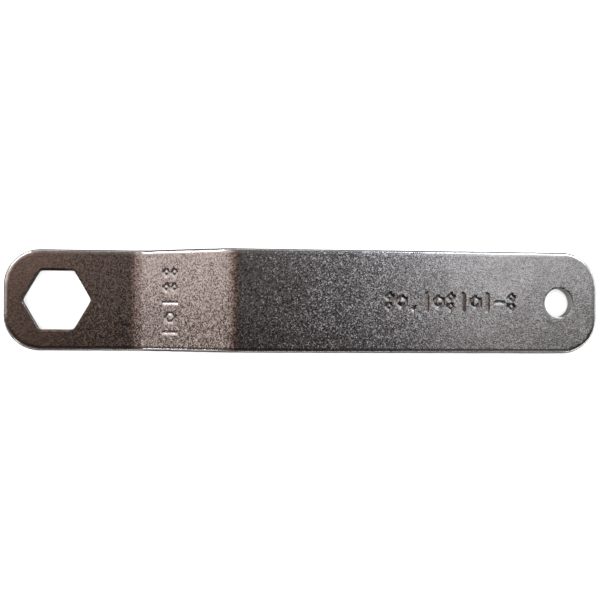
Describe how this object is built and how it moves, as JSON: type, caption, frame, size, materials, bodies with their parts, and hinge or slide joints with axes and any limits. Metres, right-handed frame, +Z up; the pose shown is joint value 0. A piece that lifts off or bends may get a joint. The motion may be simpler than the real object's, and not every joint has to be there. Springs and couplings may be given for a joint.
{
  "type": "ring wrench",
  "caption": "Flat cranked ring wrench stamped from one steel strip, with a 13 mm hexagonal opening in its head and a hanging hole at the end of its handle.",
  "frame": {"origin": "on the table, under the centre of the wrench's footprint as it lies at rest", "axes": "+X from the head to the end of the handle, +Y across the strip, +Z up from the table; the hexagon's axis leans 7.0 degrees from +Z towards +X"},
  "size_m": [0.133, 0.0228, 0.0131],
  "materials": {
    "plated_steel": "bright plating over a tumbled, finely grained surface"
  },
  "bodies": {
    "root": {"wrench_body": "plated_steel"}
  },
  "joints": []
}
